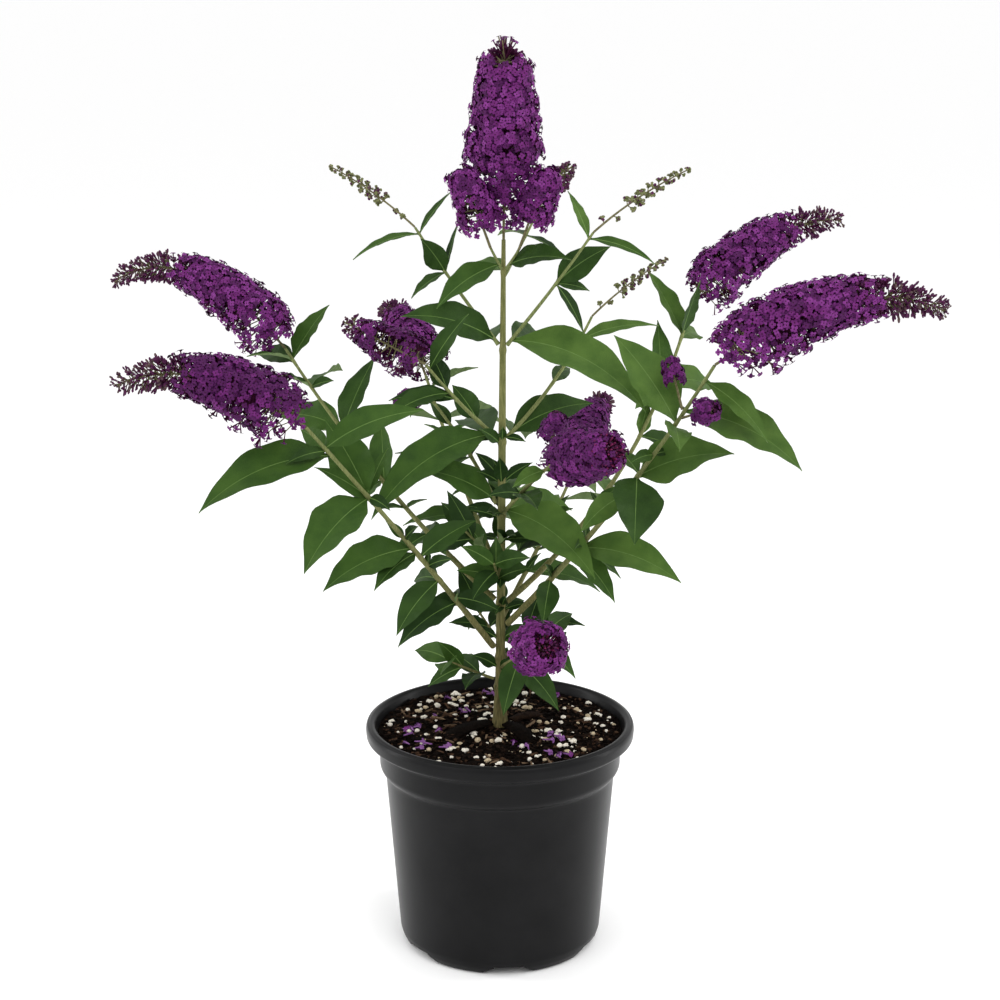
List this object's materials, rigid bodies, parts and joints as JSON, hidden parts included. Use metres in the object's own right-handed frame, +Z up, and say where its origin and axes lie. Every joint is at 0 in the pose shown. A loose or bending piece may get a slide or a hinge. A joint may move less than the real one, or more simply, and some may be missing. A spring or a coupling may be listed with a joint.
{
  "type": "potted butterfly bush",
  "caption": "Young flowering butterfly bush with purple panicles and lance-shaped leaves, standing in a round black nursery pot.",
  "frame": {"origin": "middle of the pot's flat underside", "axes": "+Z up along the main stem, +X to the plant's right seen from the front, -Y towards the front"},
  "size_m": [0.6985, 0.4935, 0.8023],
  "materials": {
    "pot": "satin black, blow moulded",
    "potting_mix": "loose, rough",
    "woody_stem": "dull khaki bark",
    "leaves": "soft matte green with pale undersides",
    "florets": "soft matte purple",
    "flower_buds": "dull grey green and maroon"
  },
  "bodies": {
    "root": {"bough_back_left": "woody_stem", "bough_back_right": "woody_stem", "bough_left_back": "woody_stem", "bough_left_front": "woody_stem", "bough_right_back": "woody_stem", "bough_right_front": "woody_stem", "bud_spike_back": "flower_buds", "bud_spike_left": "flower_buds", "bud_spike_middle_right": "flower_buds", "bud_spike_right": "flower_buds", "foliage_back_left": "leaves", "foliage_back_right": "leaves", "foliage_first_back": "leaves", "foliage_first_left": "leaves", "foliage_first_right": "leaves", "foliage_fourth_left": "leaves", "foliage_fourth_right": "leaves", "foliage_left_back": "leaves", "foliage_left_front": "leaves", "foliage_low_back_left": "leaves", "foliage_low_back_right": "leaves", "foliage_low_front": "leaves", "foliage_low_left": "leaves", "foliage_low_right": "leaves", "foliage_middle_front": "leaves", "foliage_middle_left": "leaves", "foliage_middle_right": "leaves", "foliage_right_back": "leaves", "foliage_right_front": "leaves", "foliage_second_left": "leaves", "foliage_second_right": "leaves", "foliage_third_left": "leaves", "foliage_third_right": "leaves", "main_stem": "woody_stem", "panicle_back_left": "florets", "panicle_back_right": "florets", "panicle_left_back": "florets", "panicle_left_front": "florets", "panicle_low_front": "florets", "panicle_middle_left": "florets", "panicle_middle_left_side": "florets", "panicle_middle_right": "florets", "panicle_right_back": "florets", "panicle_right_front": "florets", "panicle_top": "florets", "panicle_top_left": "florets", "panicle_top_right": "florets", "pot": "pot", "potting_mix": "potting_mix", "side_bloom_middle_right": "florets", "side_bloom_right": "florets", "side_bloom_right_upper": "florets"}
  },
  "joints": []
}
